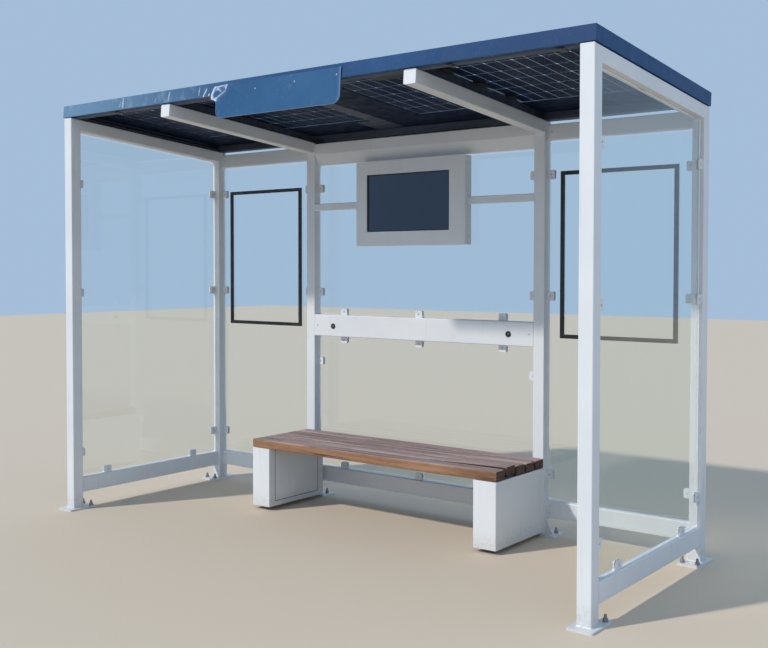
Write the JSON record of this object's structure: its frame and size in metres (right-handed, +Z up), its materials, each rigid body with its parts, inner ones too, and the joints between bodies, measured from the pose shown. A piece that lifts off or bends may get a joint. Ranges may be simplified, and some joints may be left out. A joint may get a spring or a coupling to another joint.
{
  "type": "bus shelter",
  "caption": "Bus shelter of white square tube with glass walls, a timber bench, a hanging screen, poster frames and a blue-edged solar roof.",
  "frame": {"origin": "middle of the plan on the ground, at the underside of the base plates", "axes": "+X along the shelter to the right as seen from the open front, +Y from the open front to the glass back, +Z up"},
  "size_m": [4.176, 1.576, 2.8601],
  "materials": {
    "frame_paint": "white powder coat, satin",
    "fascia_paint": "navy blue powder coat, satin",
    "glass": "clear toughened glass",
    "poster_frame_paint": "black powder coat, satin",
    "timber": "stained hardwood, weathered",
    "screen_panel": "dark display behind a gloss cover",
    "solar_laminate": "solar cells in a glass laminate",
    "roof_aluminium": "plain mill finish",
    "roof_sheet": "dark coated sheet, satin",
    "black_plastic": "matt black",
    "socket_plastic": "dark gray, satin"
  },
  "bodies": {
    "root": {"back_beams": "frame_paint", "back_bottom_rails": "frame_paint", "backrest_rail": "frame_paint", "bench_box_left": "frame_paint", "bench_box_right": "frame_paint", "bench_service_cover": "frame_paint", "bench_slats": "timber", "cantilever_left": "frame_paint", "cantilever_right": "frame_paint", "fascia_back": "fascia_paint", "fascia_front": "fascia_paint", "fascia_left": "fascia_paint", "fascia_right": "fascia_paint", "glass_back_left": "glass", "glass_back_right": "glass", "glass_clamps_back": "frame_paint", "glass_clamps_side_left": "frame_paint", "glass_clamps_side_right": "frame_paint", "glass_middle_lower": "glass", "glass_middle_upper": "glass", "glass_side_left": "glass", "glass_side_right": "glass", "header_beam": "frame_paint", "junction_boxes": "black_plastic", "light_cover": "frame_paint", "post_back_left": "frame_paint", "post_back_right": "frame_paint", "post_front_left": "frame_paint", "post_front_right": "frame_paint", "post_middle_left": "frame_paint", "post_middle_right": "frame_paint", "poster_frame_left": "poster_frame_paint", "poster_frame_right": "poster_frame_paint", "power_sockets": "socket_plastic", "roof_bars": "roof_aluminium", "roof_sheets": "roof_sheet", "screen": "screen_panel", "screen_housing": "frame_paint", "screen_rails": "frame_paint", "side_beam_left": "frame_paint", "side_beam_right": "frame_paint", "side_bottom_rail_left": "frame_paint", "side_bottom_rail_right": "frame_paint", "sign_plate": "fascia_paint", "solar_modules": "solar_laminate"}
  },
  "joints": []
}
